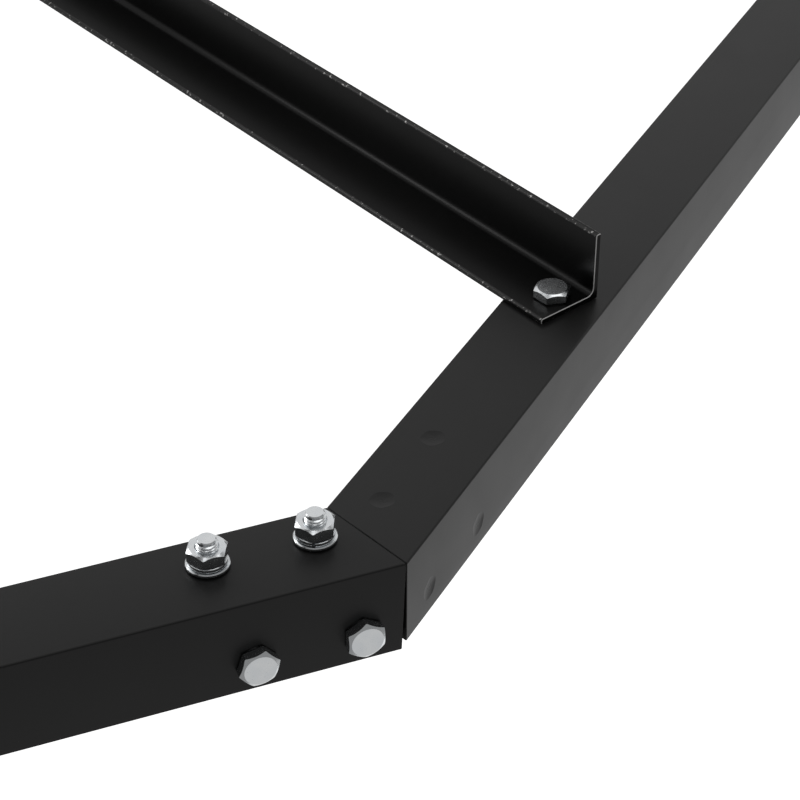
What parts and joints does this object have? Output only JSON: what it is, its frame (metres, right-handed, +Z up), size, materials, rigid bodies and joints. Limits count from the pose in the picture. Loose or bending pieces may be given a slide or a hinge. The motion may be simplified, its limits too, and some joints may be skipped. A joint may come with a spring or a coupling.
{
  "type": "ladder rack",
  "caption": "Over-cab ladder rack of black square steel tube: mitred, bolted side frames with angle-iron struts, crossbars and ladder stops.",
  "frame": {"origin": "centre of the bottom of the rack's box, between the two base rails, on the surface that they lie on", "axes": "+X forward over the cab, +Y to the left side, +Z up"},
  "size_m": [2.9294, 1.65, 0.9306],
  "materials": {
    "black_powder_coat": "satin black powder coat, slightly worn on cut edges",
    "zinc_hardware": "bright zinc plate",
    "sleeve_steel": "bare mill steel, hidden inside the joint",
    "cap_plastic": "moulded black plastic"
  },
  "bodies": {
    "root": {"base_rail_left": "black_powder_coat", "base_rail_right": "black_powder_coat", "corner_strut_left": "black_powder_coat", "corner_strut_right": "black_powder_coat", "crossbar_bolt_set_front_left": "zinc_hardware", "crossbar_bolt_set_front_right": "zinc_hardware", "crossbar_bolt_set_middle_left": "zinc_hardware", "crossbar_bolt_set_middle_right": "zinc_hardware", "crossbar_bolt_set_rear_left": "zinc_hardware", "crossbar_bolt_set_rear_right": "zinc_hardware", "crossbar_front": "black_powder_coat", "crossbar_middle": "black_powder_coat", "crossbar_rear": "black_powder_coat", "front_post_left": "black_powder_coat", "front_post_right": "black_powder_coat", "joint_flat_washer_1_left": "zinc_hardware", "joint_flat_washer_2_left": "zinc_hardware", "joint_nut_1_left": "zinc_hardware", "joint_nut_2_left": "zinc_hardware", "joint_side_bolt_1_left": "zinc_hardware", "joint_side_bolt_2_left": "zinc_hardware", "joint_side_bolt_set_1_right": "zinc_hardware", "joint_side_bolt_set_2_right": "zinc_hardware", "joint_sleeve_left": "sleeve_steel", "joint_sleeve_right": "sleeve_steel", "joint_spring_washer_1_left": "zinc_hardware", "joint_spring_washer_2_left": "zinc_hardware", "joint_top_bolt_1_left": "zinc_hardware", "joint_top_bolt_1_right": "zinc_hardware", "joint_top_bolt_2_left": "zinc_hardware", "joint_top_bolt_2_right": "zinc_hardware", "kicker_foot_bolt_set_left": "zinc_hardware", "kicker_foot_bolt_set_right": "zinc_hardware", "kicker_leg_left": "black_powder_coat", "kicker_leg_right": "black_powder_coat", "knee_brace_left": "black_powder_coat", "knee_brace_right": "black_powder_coat", "knee_lower_bolt_set_left": "zinc_hardware", "knee_lower_bolt_set_right": "zinc_hardware", "knee_upper_bolt_set_left": "zinc_hardware", "knee_upper_bolt_set_right": "zinc_hardware", "ladder_stop_front_left": "black_powder_coat", "ladder_stop_front_right": "black_powder_coat", "ladder_stop_middle_left": "black_powder_coat", "ladder_stop_middle_right": "black_powder_coat", "ladder_stop_rear_left": "black_powder_coat", "ladder_stop_rear_right": "black_powder_coat", "post_foot_bolt_set_left": "zinc_hardware", "post_foot_bolt_set_right": "zinc_hardware", "post_top_bolt_set_left": "zinc_hardware", "post_top_bolt_set_right": "zinc_hardware", "rail_end_cap_left": "cap_plastic", "rail_end_cap_right": "cap_plastic", "strut_lower_bolt_set_left": "zinc_hardware", "strut_lower_bolt_set_right": "zinc_hardware", "strut_upper_bolt_set_left": "zinc_hardware", "strut_upper_bolt_set_right": "zinc_hardware", "top_rail_left": "black_powder_coat", "top_rail_right": "black_powder_coat"}
  },
  "joints": []
}
